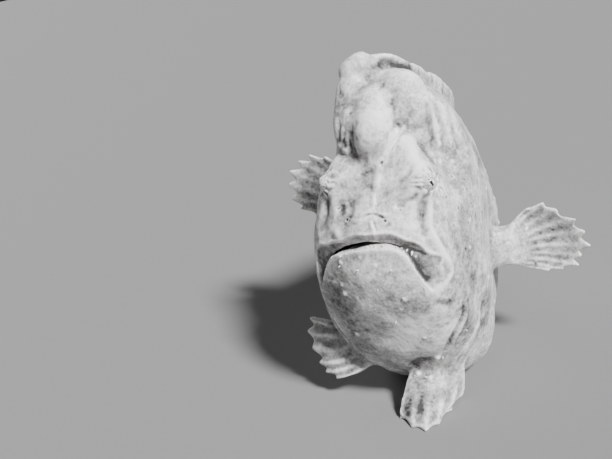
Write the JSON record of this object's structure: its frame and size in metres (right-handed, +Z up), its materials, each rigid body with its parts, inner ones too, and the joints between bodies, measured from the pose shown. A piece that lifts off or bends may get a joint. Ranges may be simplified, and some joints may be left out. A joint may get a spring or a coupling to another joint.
{
  "type": "frogfish",
  "caption": "Life-size frogfish at rest on its belly, with arm-like side fins, hand-like belly fins, a down-turned mouth, a stout bulb between the eyes and a curled tail.",
  "frame": {"origin": "middle of the flat of the belly where the fish rests on the floor, half a body length behind the upper lip", "axes": "+Z up; the fish faces -Y, so +Y runs towards its tail; +X is the fish's left side"},
  "size_m": [0.1467, 0.1866, 0.1533],
  "materials": {
    "skin": "thick soft skin, satin, with fine warts and pores",
    "fin": "thinner skin over raised rays, satin",
    "eye": "wet gloss, pale iris with dark spokes and an upright pupil"
  },
  "bodies": {
    "root": {"head": "skin", "lower_jaw": "skin", "torso": "skin", "tail": "skin", "second_spine": "skin", "third_spine": "skin", "illicium": "skin", "pectoral_arm_left": "skin", "pectoral_arm_right": "skin", "pectoral_fin_left": "fin", "pectoral_fin_right": "fin", "pelvic_fin_left": "fin", "pelvic_fin_right": "fin", "dorsal_fin": "fin", "anal_fin": "fin", "caudal_fin": "fin", "eye_left": "eye", "eye_right": "eye"}
  },
  "joints": []
}
